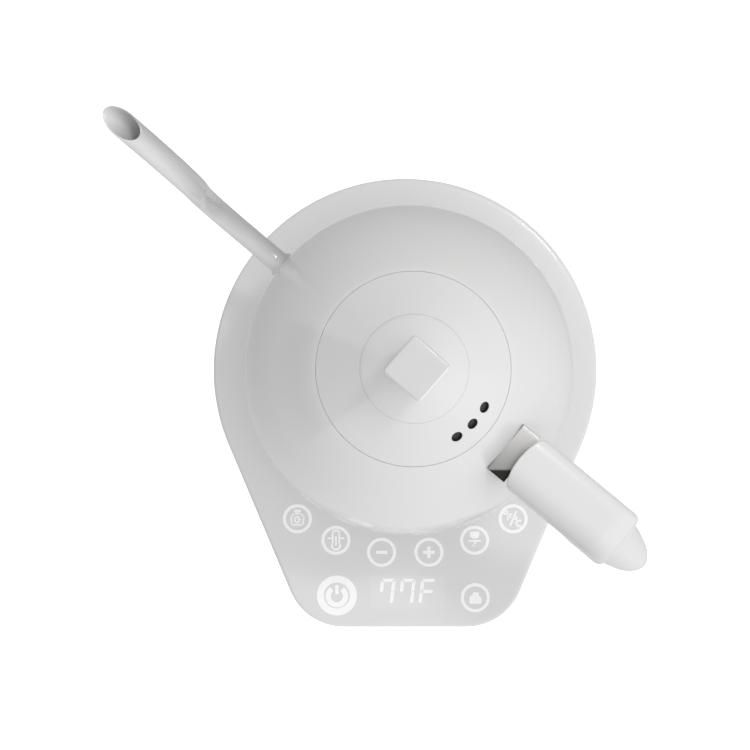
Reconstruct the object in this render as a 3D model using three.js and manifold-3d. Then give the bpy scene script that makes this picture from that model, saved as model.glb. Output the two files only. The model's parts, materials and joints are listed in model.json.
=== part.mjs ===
// Electric gooseneck pouring kettle, standing turned on its touch-control power base.
// Millimetres, +Z up, the controls towards -Y. The swivel axis is the kettle's own axis.
import * as THREE from 'three';
import { mergeVertices } from 'three/addons/utils/BufferGeometryUtils.js';
import Module from 'manifold-3d';

const wasm = await Module();
wasm.setup();

// ---- driving dimensions -------------------------------------------------------------------
const DEGREE = Math.PI / 180;
const GAP = 0.3; // clearance between pieces that touch
const STEEL = 1.2; // sheet of the kettle body, spout and lid
const PLASTIC = 2.2; // wall of the moulded covers
const AXIS_FROM_ORIGIN = { x: 2.54, y: 16 }; // swivel axis, seen from the middle of the footprint
const KETTLE_TURN = -39.7 * DEGREE; // where the handle points
const LID_TURN = -3.3 * DEGREE; // how far the lid is turned on the kettle

// Power base: a round back, two straight tangent sides and a flat front with round corners.
const BASE_RADIUS = 95;
const BASE_FRONT = -127.2;
const BASE_CORNER = 28.7;
const BASE_SIDE_TILT = 22.9 * DEGREE;
const BASE_TOP = 22;
const BASE_EDGE = 2; // rounding of the top edge
const BASE_SPLIT = 5; // height of the joint between the two covers
const BASE_UNDERSIDE = 2.6;
const FOOT_RADIUS = 7;
const BOARD = 1.6;

// Cordless connector: a round boss with two ring slots, and the socket that drops over it.
const BOSS_RADIUS = 19;
const BOSS_TOP = 30;
const PIN_BORE = 4.3;
const SLOTS = { live: [8, 10], neutral: [13, 15] }; // inner and outer radius of each slot
const SLOT_FLOOR = 14;
const SOCKET_RADIUS = 24.5;
const SOCKET_TOP = 37;

// Kettle body: nearly straight below its widest ring, a dome above it.
const KETTLE_FOOT = BASE_TOP + 0.4;
const SKIRT_TOP = 30;
const WIDEST = { r: 73.65, z: 77 };
const SEAM = { r: 38, z: 154.5 }; // the joint between body and lid
const SEAM_SLOPE = 40 * DEGREE;
const FLOOR = 52; // underside of the water floor
const LEDGE = 151.2; // the lid's flange rests here
const COLLAR_RADIUS = 34.6;
const COLLAR_FOOT = 141;

// Lid
const CAP = { r: 20.66, z: 168.8 }; // the joint between lid shell and cap
const LINER_RADIUS = 31.8;
const VENT = { r: 31, z: 160.5, radius: 2.3, step: 14.5, count: 3 }; // step in degrees
const KNOB = { foot: 177.3, top: 197, side: 17.8, footScale: 0.8, corner: 1.1 };

// Spout: a bent tube, cut level at its mouth. Its centre line is (distance from axis, height).
const SPOUT_OUTER = 4.9;
const SPOUT_BORE = 4.2;
const SPOUT_MOUTH = 195;
const SPOUT_LINE = [
  [71.5, 81], [84, 84], [98, 90], [109, 101], [113.3, 117], [112.6, 135],
  [112, 150], [114.3, 164], [119.8, 177], [127.6, 187.4], [137.2, 195], [149, 203],
];

// Handle: a level arm and a leg that leans outward, open at the bottom.
const HANDLE = {
  front: 54.4, frontBulge: 28, frontFoot: 61.5, top: 150, under: 130.5, edge: 4,
  armHalf: 12.3, kneeHalf: 13.3, legHalf: 11, footHalf: 9.4, // half widths, across the handle
};
const LEG = { knee: [111.5, 128], end: [139.2, 79], thick: 20, taper: 121, tip: 138.3 };
const HANDLE_WALL = 2.5;
const HANDLE_COVER = 3; // thickness of the cover on the underside
const BRACKET = { halfWidth: 11.45, low: 133.5, high: 142, end: 57 };
const TONGUE = { halfWidth: 8, low: 135, high: 141, end: 82 };
const HANDLE_SCREWS = [68, 76];

// ---- making solids --------------------------------------------------------------------------
const [X, Y, Z] = [[1, 0, 0], [0, 1, 0], [0, 0, 1]].map((axis) => new THREE.Vector3(...axis));

/** A closed geometry as a solid: shared corners merged, faces turned outward. */
function solid(geometry) {
  const bare = geometry.clone();
  bare.deleteAttribute('normal');
  bare.deleteAttribute('uv');
  const merged = mergeVertices(bare, 1e-3);
  const corners = merged.getIndex().array;
  const faces = [];
  for (let i = 0; i < corners.length; i += 3) {
    const [a, b, c] = corners.slice(i, i + 3);
    if (a !== b && b !== c && c !== a) faces.push([a, b, c]);
  }
  const at = (i) => new THREE.Vector3().fromBufferAttribute(merged.getAttribute('position'), i);
  const volume = faces.reduce((sum, [a, b, c]) => sum + at(a).dot(at(b).cross(at(c))), 0);
  const outward = volume > 0 ? faces : faces.map(([a, b, c]) => [a, c, b]);
  return new wasm.Manifold(new wasm.Mesh({
    numProp: 3,
    vertProperties: new Float32Array(merged.getAttribute('position').array),
    triVerts: new Uint32Array(outward.flat()),
  }));
}

/** A solid back as a geometry. */
function geometryOf(body) {
  const mesh = body.getMesh();
  const geometry = new THREE.BufferGeometry();
  geometry.setAttribute('position', new THREE.BufferAttribute(mesh.vertProperties, 3));
  geometry.setIndex(new THREE.BufferAttribute(mesh.triVerts, 1));
  geometry.computeVertexNormals();
  return geometry;
}

/** A body of revolution about Z from a closed (radius, height) profile. */
function turned(profile, segments = 32) {
  const points = profile.map(([r, z]) => new THREE.Vector2(r, z));
  const onAxis = profile[0][0] === 0;
  if (!onAxis) points.push(points[0].clone());
  return solid(new THREE.LatheGeometry(points, segments).rotateX(Math.PI / 2));
}

/** A ring of rectangular section. */
const ring = (inner, outer, low, high, segments = 24) =>
  turned([[inner, low], [outer, low], [outer, high], [inner, high]], segments);

/** An upright cylinder. */
function rod(x, y, low, high, radius, segments = 12) {
  const geometry = new THREE.CylinderGeometry(radius, radius, high - low, segments);
  return solid(geometry.rotateX(Math.PI / 2).translate(x, y, (low + high) / 2));
}

/** A box between two corners. */
function block([x0, y0, z0], [x1, y1, z1]) {
  const geometry = new THREE.BoxGeometry(x1 - x0, y1 - y0, z1 - z0);
  return solid(geometry.translate((x0 + x1) / 2, (y0 + y1) / 2, (z0 + z1) / 2));
}

/** An outline raised from one height to another, with an optional rounded edge at both ends. */
function raised(shape, low, high, edge = 0) {
  const geometry = new THREE.ExtrudeGeometry(shape, {
    depth: high - low - 2 * edge,
    bevelEnabled: edge > 0,
    bevelThickness: edge,
    bevelSize: edge,
    bevelOffset: -edge,
    bevelSegments: 2,
  });
  return solid(geometry.translate(0, 0, low + edge));
}

/** A tube along a curve; with a bore it is open at both ends. */
function tube(path, outer, bore, sides, steps) {
  const section = new THREE.Shape().absarc(0, 0, outer, 0, 2 * Math.PI, false);
  if (bore) section.holes.push(new THREE.Path().absarc(0, 0, bore, 0, 2 * Math.PI, true));
  return solid(new THREE.ExtrudeGeometry(section, {
    extrudePath: path,
    steps,
    curveSegments: sides / 2,
  }));
}

const join = (pieces) => pieces.reduce((whole, piece) => whole.add(piece));
const cut = (body, pieces) => pieces.reduce((whole, piece) => whole.subtract(piece), body);
const polar = (radius, angle) => [radius * Math.cos(angle), radius * Math.sin(angle)];

/** A profile line moved sideways by a distance, to the left of its direction. */
function beside(points, distance) {
  return points.map(([r, z], i) => {
    const before = points[Math.max(i - 1, 0)];
    const after = points[Math.min(i + 1, points.length - 1)];
    const along = new THREE.Vector2(after[0] - before[0], after[1] - before[1]).normalize();
    return [r - along.y * distance, z + along.x * distance];
  });
}

// ---- finishes ---------------------------------------------------------------------------------
const FINISH = {
  enamel: ['#ececea', 0.22, 0],
  whitePlastic: ['#e9e9e8', 0.28, 0],
  greyPlastic: ['#c9c9c7', 0.5, 0],
  blackPlastic: ['#1d1d1f', 0.55, 0],
  brushedSteel: ['#a9a9a6', 0.35, 1],
  aluminium: ['#c4c6c8', 0.4, 1],
  brass: ['#c2a04f', 0.35, 1],
  rubber: ['#3a3a3a', 0.85, 0],
  silicone: ['#dcdcd8', 0.6, 0],
  circuitBoard: ['#1f5a3a', 0.6, 0],
};

function add(group, name, body, finish) {
  const [color, roughness, metalness] = FINISH[finish];
  const material = new THREE.MeshStandardMaterial({ color, roughness, metalness });
  const mesh = new THREE.Mesh(geometryOf(body), material);
  mesh.name = name;
  group.add(mesh);
}

// ---- power base ---------------------------------------------------------------------------------
/** The base's outline, drawn in by a distance all round. */
function baseOutline(inset) {
  const cornerY = BASE_FRONT + BASE_CORNER;
  const reach = BASE_RADIUS - BASE_CORNER + Math.sin(BASE_SIDE_TILT) * cornerY;
  const cornerX = reach / Math.cos(BASE_SIDE_TILT);
  const arc = (x, radius, from, to, steps) => {
    const y = x === 0 ? 0 : cornerY;
    return new THREE.EllipseCurve(x, y, radius - inset, radius - inset, from, to).getPoints(steps);
  };
  const leftSide = Math.PI + BASE_SIDE_TILT;
  const rightSide = 2 * Math.PI - BASE_SIDE_TILT;
  const front = 1.5 * Math.PI;
  return new THREE.Shape([
    ...arc(0, BASE_RADIUS, -BASE_SIDE_TILT, leftSide, 28),
    ...arc(-cornerX, BASE_CORNER, leftSide, front, 6),
    ...arc(cornerX, BASE_CORNER, front, rightSide, 6),
  ]);
}

const FEET = [[0, 78], [74, 18], [-74, 18], [34, -108], [-34, -108]];
const BASE_SCREWS = [[46, 68], [-46, 68], [62, -46], [-62, -46], [0, -66]];
const GLAND = { z: 13, radius: 4.6, bore: 3.4, inner: 84, outer: BASE_RADIUS - 0.4 };
const TOUCH_KEYS = [
  ...[-36, -22.2, -7.4, 7.4, 22.2, 36].map((step) => polar(90.7, (270 + step) * DEGREE)),
  [-33.8, -111.3],
  [34.6, -112.4],
];
const DISPLAY = { x: 1.1, y: -109.6, width: 37, depth: 17 };
const TOUCH_BOARD_Z = 12.4;
const TOUCH_BOARD_BACK = -76;

/** A cylinder that lies along Y, for the cord gland. */
function glandRod(radius, inner, outer) {
  const geometry = new THREE.CylinderGeometry(radius, radius, outer - inner, 20);
  return solid(geometry.translate(0, (inner + outer) / 2, GLAND.z));
}

function baseTopCover() {
  const shell = raised(baseOutline(0), BASE_SPLIT - 3 * BASE_EDGE, BASE_TOP, BASE_EDGE);
  const hollow = raised(baseOutline(PLASTIC), 0, BASE_TOP - PLASTIC);
  const below = block([-150, -150, -10], [150, 150, BASE_SPLIT]);
  const bosses = BASE_SCREWS.map(([x, y]) => rod(x, y, 9, BASE_TOP - PLASTIC + 0.5, 3.4, 10));
  const pilots = BASE_SCREWS.map(([x, y]) => rod(x, y, 8, 17, 1.5, 8));
  const walls = cut(shell, [hollow, below, rod(0, 0, 10, BASE_TOP + 2, BOSS_RADIUS + GAP, 32)]);
  return cut(join([walls, ...bosses]), [...pilots, glandRod(GLAND.radius + GAP, 80, 100)]);
}

function baseBottomCover() {
  const plate = raised(baseOutline(0.6), BASE_UNDERSIDE, BASE_SPLIT - GAP);
  const rimInset = PLASTIC + GAP + 0.1;
  const rim = raised(baseOutline(rimInset), BASE_SPLIT - 1, 7.8);
  const rimHollow = raised(baseOutline(rimInset + 1.6), BASE_SPLIT - GAP, 9);
  const holes = BASE_SCREWS.map(([x, y]) => rod(x, y, 0, 9, 1.5, 8));
  const heads = BASE_SCREWS.map(([x, y]) => rod(x, y, 0, 3.8, 3.1, 12));
  return cut(join([plate, cut(rim, [rimHollow])]), [...holes, ...heads]);
}

function screw(x, y, headLow, headHigh, tip, headRadius, shankRadius) {
  const head = rod(x, y, headLow, headHigh, headRadius, 10);
  return head.add(rod(x, y, headHigh - 0.2, tip, shankRadius, 8));
}

/** The base's half of the connector: a boss with a central bore and a slot for each ring. */
function connectorHousing() {
  const boss = turned([
    [PIN_BORE, 9], [21, 9], [21, 17], [24, 17], [24, 19.5], [BOSS_RADIUS, 19.5],
    [BOSS_RADIUS, BOSS_TOP - 1], [BOSS_RADIUS - 1, BOSS_TOP], [PIN_BORE, BOSS_TOP],
  ]);
  const slots = Object.values(SLOTS).map(([inner, outer]) => ring(inner, outer, SLOT_FLOOR, BOSS_TOP + 2));
  return cut(boss, slots);
}

function makeBase() {
  const base = new THREE.Group();
  add(base, 'base_top_cover', baseTopCover(), 'whitePlastic');
  add(base, 'base_bottom_cover', baseBottomCover(), 'greyPlastic');
  FEET.forEach(([x, y], i) => {
    const foot = turned([[0, 0], [FOOT_RADIUS - 0.8, 0], [FOOT_RADIUS, 0.8],
      [FOOT_RADIUS, BASE_UNDERSIDE - GAP], [0, BASE_UNDERSIDE - GAP]], 16);
    add(base, `foot_${i + 1}`, foot.translate([x, y, 0]), 'rubber');
  });
  BASE_SCREWS.forEach(([x, y], i) => {
    add(base, `base_screw_${i + 1}`, screw(x, y, 2.9, 3.5, 15.5, 2.8, 1.2), 'brushedSteel');
  });
  add(base, 'cord_gland', glandRod(GLAND.radius, GLAND.inner, GLAND.outer)
    .subtract(glandRod(GLAND.bore, 80, 100)), 'rubber');

  // controls under the front of the cover
  const touchBoard = raised(baseOutline(7), TOUCH_BOARD_Z, TOUCH_BOARD_Z + BOARD)
    .subtract(block([-100, TOUCH_BOARD_BACK, 0], [100, 100, 30]));
  add(base, 'touch_board', touchBoard, 'circuitBoard');
  const coverUnderside = BASE_TOP - PLASTIC;
  TOUCH_KEYS.forEach(([x, y], i) => {
    const spring = ring(2.6, 4, TOUCH_BOARD_Z + BOARD + GAP, coverUnderside - GAP, 10);
    add(base, `touch_spring_${i + 1}`, spring.translate([x, y, 0]), 'brass');
  });
  add(base, 'display_module', block(
    [DISPLAY.x - DISPLAY.width / 2, DISPLAY.y - DISPLAY.depth / 2, TOUCH_BOARD_Z + BOARD + GAP],
    [DISPLAY.x + DISPLAY.width / 2, DISPLAY.y + DISPLAY.depth / 2, coverUnderside - GAP],
  ), 'blackPlastic');

  // power electronics behind the connector
  add(base, 'power_board', block([-32, 32, 9], [32, 64, 9 + BOARD]), 'circuitBoard');
  add(base, 'transformer', block([-27, 38, 9 + BOARD + GAP], [-5, 58, 19.3]), 'blackPlastic');
  add(base, 'relay', block([6, 40, 9 + BOARD + GAP], [26, 56, 19.3]), 'blackPlastic');

  // cordless connector
  add(base, 'connector_housing', connectorHousing(), 'blackPlastic');
  const contactTop = SLOT_FLOOR + 4;
  for (const [name, [inner, outer]] of Object.entries(SLOTS)) {
    const contact = ring(inner + GAP, outer - GAP, SLOT_FLOOR + GAP, contactTop);
    add(base, `base_contact_${name}`, contact, 'brass');
  }
  add(base, 'base_contact_earth', ring(2.4, PIN_BORE - GAP, 9.5, SLOT_FLOOR, 16), 'brass');
  return base;
}

// ---- kettle -------------------------------------------------------------------------------------
// what hangs below the water floor
const PROBE = { x: -20, y: 24, radius: 2.5 };
const SPREADER = { radius: 57, thick: 3 };
const ELEMENT = { radius: 44, tube: 3.3, gap: 40 * DEGREE };
const LUGS = [90, 210, 330].map((angle) => polar(63, angle * DEGREE));

/** The dome above the widest ring, from its widest point up to the lid seam. */
function domeCurve() {
  const shoulder = 35;
  const neck = 20;
  return new THREE.CubicBezierCurve(
    new THREE.Vector2(WIDEST.r, WIDEST.z),
    new THREE.Vector2(WIDEST.r, WIDEST.z + shoulder),
    new THREE.Vector2(SEAM.r + neck * Math.cos(SEAM_SLOPE), SEAM.z - neck * Math.sin(SEAM_SLOPE)),
    new THREE.Vector2(SEAM.r + 0.25, SEAM.z),
  );
}

/** The outside of the kettle body, from its foot to the seam, as (radius, height) points. */
function bodyLine() {
  const wall = new THREE.QuadraticBezierCurve(
    new THREE.Vector2(72, SKIRT_TOP + GAP),
    new THREE.Vector2(73.6, 50),
    new THREE.Vector2(WIDEST.r, WIDEST.z),
  );
  return [...wall.getPoints(3), ...domeCurve().getPoints(9).slice(1)].map(({ x, y }) => [x, y]);
}

/** The kettle's solid outside, grown by a distance, for cutting what stands against it. */
function bodyBlank(grown) {
  const line = beside(bodyLine(), -grown);
  return turned([[0, SKIRT_TOP], [line[0][0], SKIRT_TOP], ...line, [0, SEAM.z + grown]]);
}

function spoutPath() {
  return new THREE.CatmullRomCurve3(SPOUT_LINE.map(([u, z]) => new THREE.Vector3(-u, 0, z)));
}

function kettleBody() {
  const outside = bodyLine();
  const inWater = ([, z]) => z > FLOOR + 2 * STEEL && z < LEDGE - 2 * STEEL;
  const inside = beside(outside, STEEL).filter(inWater);
  const skirtInside = outside[0][0] - STEEL;
  const shell = turned([
    [0, FLOOR + STEEL], [inside[0][0] - STEEL, FLOOR + STEEL],
    ...inside,
    [COLLAR_RADIUS + STEEL, LEDGE - STEEL], [COLLAR_RADIUS + STEEL, COLLAR_FOOT],
    [COLLAR_RADIUS, COLLAR_FOOT], [COLLAR_RADIUS, LEDGE], [SEAM.r + 0.25, LEDGE],
    ...outside.reverse(),
    [skirtInside, SKIRT_TOP + GAP], [skirtInside, FLOOR], [0, FLOOR],
  ]);
  const [[rootU, rootZ], [nextU, nextZ]] = SPOUT_LINE; // the hole follows the spout's first stretch
  const rootLine = new THREE.LineCurve3(
    new THREE.Vector3(nextU - 2 * rootU, 0, 2 * rootZ - nextZ),
    new THREE.Vector3(-nextU, 0, nextZ),
  );
  const probeHole = rod(PROBE.x, PROBE.y, FLOOR - 1, FLOOR + 3, PROBE.radius + GAP, 12);
  return cut(shell, [tube(rootLine, SPOUT_OUTER + GAP, 0, 12, 1), probeHole]);
}

function spout() {
  const bent = tube(spoutPath(), SPOUT_OUTER, SPOUT_BORE, 12, 24);
  return bent.subtract(block([-200, -20, SPOUT_MOUTH], [0, 20, SPOUT_MOUTH + 30]));
}

function kettleSkirt() {
  const rest = KETTLE_FOOT;
  const plate = rest + 1.2; // the plate stays clear of the base; only the outer rim rests
  const dish = turned([
    [SOCKET_RADIUS + GAP, plate], [66, plate], [67, rest], [70, rest], [71.4, rest + 2],
    [72, SKIRT_TOP], [70, SKIRT_TOP], [69.4, plate + PLASTIC],
    [SOCKET_RADIUS + GAP + 2, plate + PLASTIC], [SOCKET_RADIUS + GAP + 2, SOCKET_TOP],
    [SOCKET_RADIUS + GAP, SOCKET_TOP],
  ]);
  return cut(dish, LUGS.map(([x, y]) => rod(x, y, rest, SKIRT_TOP, 1.6, 8)));
}

function heatingElement() {
  const loop = new THREE.EllipseCurve(0, 0, ELEMENT.radius, ELEMENT.radius,
    ELEMENT.gap / 2, 2 * Math.PI - ELEMENT.gap / 2);
  const height = FLOOR - GAP - SPREADER.thick - GAP - ELEMENT.tube;
  const points = loop.getPoints(24).map(({ x, y }) => new THREE.Vector3(x, y, height));
  return tube(new THREE.CatmullRomCurve3(points), ELEMENT.tube, 0, 8, 24);
}

// ---- handle ------------------------------------------------------------------------------------
/** A side outline, (distance from axis, height), given a width across the handle plane. */
function standing(points, width, edge = 0) {
  const shape = new THREE.Shape(points.map(([x, z]) => new THREE.Vector2(x, z)));
  const geometry = new THREE.ExtrudeGeometry(shape, {
    depth: width - 2 * edge,
    bevelEnabled: edge > 0,
    bevelThickness: edge,
    bevelSize: edge,
    bevelOffset: -edge,
    bevelSegments: 2,
  });
  geometry.translate(0, 0, edge - width / 2);
  return solid(geometry.applyMatrix4(new THREE.Matrix4().makeBasis(X, Z, Y.clone().negate())));
}

/** The underside of arm and leg, from the front of the arm to the foot of the leg. */
function handleUnderside() {
  const [kneeX, kneeZ] = LEG.knee;
  const [endX, endZ] = LEG.end;
  const along = new THREE.Vector2(endX - kneeX, endZ - kneeZ).normalize();
  const inner = (x, z) => new THREE.Vector2(x + along.y * LEG.thick, z - along.x * LEG.thick);
  const kneeInside = inner(kneeX, kneeZ);
  const bend = new THREE.QuadraticBezierCurve(
    new THREE.Vector2(kneeInside.x - 10, HANDLE.under),
    new THREE.Vector2(kneeInside.x - 3, HANDLE.under),
    kneeInside,
  );
  const line = [new THREE.Vector2(HANDLE.frontFoot, HANDLE.under), ...bend.getPoints(4), inner(endX, endZ)];
  return line.map(({ x, y }) => [x, y]);
}

/** The handle's side outline, all round. */
function handleOutline() {
  const [kneeX, kneeZ] = LEG.knee;
  const bend = new THREE.QuadraticBezierCurve(
    new THREE.Vector2(kneeX - 14, HANDLE.top),
    new THREE.Vector2(kneeX - 2, HANDLE.top),
    new THREE.Vector2(kneeX, kneeZ),
  );
  const under = handleUnderside().reverse();
  const [innerEndX, innerEndZ] = under[0];
  const [endX, endZ] = LEG.end;
  return [
    [HANDLE.front, HANDLE.top],
    ...bend.getPoints(6).map(({ x, y }) => [x, y]),
    [endX, endZ], [endX - 2.5, endZ - 4], [innerEndX + 6, innerEndZ + 0.5],
    ...under,
  ].reverse();
}

/** The handle's outline from above: straight sides, drawn in to a rounded foot. */
function handlePlan() {
  const bend = new THREE.QuadraticBezierCurve(
    new THREE.Vector2(LEG.taper, -HANDLE.legHalf),
    new THREE.Vector2(LEG.tip - 2.4, -HANDLE.legHalf + 0.8),
    new THREE.Vector2(LEG.tip, 0),
  );
  const side = [[40, -14], [112, -14], [117, -11.8], ...bend.getPoints(6).map(({ x, y }) => [x, y])];
  return [...side, ...side.slice(0, -1).reverse().map(([x, y]) => [x, -y])];
}

/** The handle's outside as one solid: rounded edges, the leg narrower than the arm. */
function handleBlank(inset) {
  const outline = beside(handleOutline(), inset);
  const { armHalf, kneeHalf, legHalf, footHalf } = HANDLE;
  const halfWidths = [
    [armHalf, 160], [armHalf, 142], [kneeHalf, 128], [legHalf, 114], [legHalf, 94], [footHalf, 80],
    [footHalf - 4, 66],
  ].map(([half, z]) => [half - inset, z]);
  const front = new THREE.Shape([
    ...halfWidths.map(([y, z]) => new THREE.Vector2(y, z)),
    ...halfWidths.map(([y, z]) => new THREE.Vector2(-y, z)).reverse(),
  ]);
  const frontView = new THREE.ExtrudeGeometry(front, { depth: 120, bevelEnabled: false });
  frontView.applyMatrix4(new THREE.Matrix4().makeBasis(Y, Z, X)).translate(40, 0, 0);
  const plan = new THREE.Shape(beside(handlePlan(), inset).map(([x, y]) => new THREE.Vector2(x, y)));
  return standing(outline, 2 * (kneeHalf - inset), inset > 0 ? 1 : HANDLE.edge)
    .intersect(solid(frontView))
    .intersect(raised(plan, 60, 160));
}

/** The band along the handle's underside that its cover takes up. */
function coverBand(thickness) {
  const line = handleUnderside();
  const [[frontX, frontZ]] = line;
  const [endX, endZ] = line[line.length - 1];
  const long = [[frontX - 12, frontZ], ...line, [endX + 4, endZ - 8]];
  return standing([...beside(long, -8), ...beside(long, thickness).reverse()], 40);
}

function handleShell() {
  const frontArc = new THREE.Shape().absarc(
    HANDLE.front + HANDLE.frontBulge, 0, HANDLE.frontBulge, 0, 2 * Math.PI, false);
  const behindArc = block([HANDLE.front + HANDLE.frontBulge, -20, 40], [180, 20, 170]);
  const frontFace = raised(frontArc, 100, 170).add(behindArc);
  const slot = block(
    [40, -TONGUE.halfWidth - GAP, TONGUE.low - GAP],
    [HANDLE.frontFoot + 5, TONGUE.halfWidth + GAP, TONGUE.high + GAP],
  );
  const outside = handleBlank(0).intersect(frontFace);
  return cut(outside, [handleBlank(HANDLE_WALL), coverBand(HANDLE_COVER + GAP), slot]);
}

function handleCover() {
  const cover = handleBlank(0).intersect(coverBand(HANDLE_COVER));
  const holes = HANDLE_SCREWS.flatMap((x) => [
    rod(x, 0, 120, 140, 1.9, 12),
    rod(x, 0, 120, HANDLE.under + 2, 3.5, 12),
  ]);
  return cut(cover, holes);
}

function handleBracket() {
  const plate = block(
    [40, -BRACKET.halfWidth, BRACKET.low],
    [BRACKET.end, BRACKET.halfWidth, BRACKET.high],
  );
  const tongue = block(
    [BRACKET.end - 1, -TONGUE.halfWidth, TONGUE.low],
    [TONGUE.end, TONGUE.halfWidth, TONGUE.high],
  );
  const holes = HANDLE_SCREWS.map((x) => rod(x, 0, 120, 150, 1.9, 12));
  return cut(plate.add(tongue), [bodyBlank(GAP), ...holes]);
}

// ---- lid -----------------------------------------------------------------------------------------
/** The lid's outside between the two joints, from the seam up to the cap. */
const lidLine = () => new THREE.QuadraticBezierCurve(
  new THREE.Vector2(SEAM.r - 0.25, SEAM.z + 0.1),
  new THREE.Vector2(29.6, 161.9),
  new THREE.Vector2(CAP.r + 0.2, CAP.z),
).getPoints(4).map(({ x, y }) => [x, y]);

/** Rods through the lid, square to its slope, one for each steam vent. */
const vents = () => Array.from({ length: VENT.count }, (_, i) => rod(0, 0, -4, 4, VENT.radius, 14)
  .rotate([0, SEAM_SLOPE / DEGREE, 0])
  .translate([VENT.r, 0, VENT.z])
  .rotate([0, 0, (i - 1) * VENT.step]));

function lidShell() {
  const outside = lidLine();
  const inside = beside(outside, STEEL);
  const seat = CAP.z - 2; // the disc that carries the cap
  const shell = turned([
    ...outside,
    [CAP.r + 0.2, seat], [2.6, seat], [2.6, seat - STEEL],
    ...inside.reverse().slice(1),
  ]);
  return cut(shell, vents());
}

function lidCap() {
  const foot = KNOB.foot - GAP;
  return turned([
    [2.6, CAP.z - 2 + GAP], [CAP.r - 0.3, CAP.z - 2 + GAP], [CAP.r - 0.3, CAP.z + 0.1],
    [14, 173.8], [9.5, foot - 0.4], [7.5, foot], [2.6, foot],
  ], 32);
}

/** A square block with round corners that narrows towards its foot. */
function lidKnob() {
  const reach = KNOB.side / 2 - KNOB.corner;
  const shape = new THREE.Shape();
  [[reach, reach], [-reach, reach], [-reach, -reach], [reach, -reach]].forEach(([x, y], quarter) => {
    shape.absarc(x, y, KNOB.corner, quarter * Math.PI / 2, (quarter + 1) * Math.PI / 2, false);
  });
  const height = KNOB.top - KNOB.foot;
  const geometry = new THREE.ExtrudeGeometry(shape, {
    depth: height - 1.2,
    bevelThickness: 0.6,
    bevelSize: 0.6,
    bevelOffset: -0.6,
    bevelSegments: 2,
    curveSegments: 2,
  });
  geometry.translate(0, 0, 0.6);
  const points = geometry.getAttribute('position');
  for (let i = 0; i < points.count; i += 1) {
    const share = points.getZ(i) / height;
    const scale = KNOB.footScale + (1 - KNOB.footScale) * share;
    points.setXY(i, points.getX(i) * scale, points.getY(i) * scale);
  }
  const screwHole = rod(0, 0, KNOB.foot - 1, KNOB.foot + 12, 2.5, 12);
  return solid(geometry.translate(0, 0, KNOB.foot)).subtract(screwHole);
}

function lidLiner() {
  const [flange, lip, foot] = [152.6, 33.6, 140];
  const cup = turned([
    [0, foot], [lip, foot], [lip, foot + 1.8], [LINER_RADIUS, foot + 1.8],
    [LINER_RADIUS, LEDGE + GAP], [37, LEDGE + GAP], [37, flange - 0.4],
    [LINER_RADIUS - STEEL, flange - 0.4], [LINER_RADIUS - STEEL, foot + STEEL], [0, foot + STEEL],
  ]);
  const steam = Array.from({ length: 6 }, (_, i) => {
    const [x, y] = polar(20, i * 60 * DEGREE);
    return rod(x, y, foot - 1, foot + 3, 2.3, 10);
  });
  return cut(cup, steam);
}

function lidSeal() {
  const inner = LINER_RADIUS + GAP;
  const [low, high, root, lip] = [142.2, LEDGE - 0.1, 33.2, COLLAR_RADIUS - GAP];
  return turned([
    [inner, low], [root, low], [lip, low + 2], [lip, low + 4], [root, low + 6],
    [root, high], [inner, high],
  ], 28);
}

// ---- connector half under the kettle ------------------------------------------------------------
function makeSocket() {
  const socket = new THREE.Group();
  const wall = SOCKET_RADIUS - 2;
  const roof = SOCKET_TOP - 3;
  add(socket, 'socket_housing', turned([
    [0, roof], [wall, roof], [wall, KETTLE_FOOT + 1.2], [SOCKET_RADIUS, KETTLE_FOOT + 1.2],
    [SOCKET_RADIUS, SOCKET_TOP], [0, SOCKET_TOP],
  ], 32), 'blackPlastic');
  const bladeFoot = SLOT_FLOOR + 5;
  for (const [name, [inner, outer]] of Object.entries(SLOTS)) {
    const blade = ring(inner + 0.6, outer - 0.6, bladeFoot, roof - GAP);
    add(socket, `socket_ring_${name}`, blade, 'brass');
  }
  add(socket, 'socket_earth_pin', rod(0, 0, SLOT_FLOOR + 1, roof - GAP, 3.2, 20), 'brass');
  return socket;
}

function makeLid() {
  const lid = new THREE.Group();
  lid.rotation.z = LID_TURN;
  add(lid, 'lid_shell', lidShell(), 'enamel');
  add(lid, 'lid_cap', lidCap(), 'whitePlastic');
  add(lid, 'lid_knob', lidKnob(), 'whitePlastic');
  const seat = CAP.z - 2 - STEEL - GAP;
  add(lid, 'knob_screw', screw(0, 0, seat - 2, seat, KNOB.foot + 11, 4.5, 2), 'brushedSteel');
  add(lid, 'lid_liner', lidLiner(), 'brushedSteel');
  return lid;
}

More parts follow.
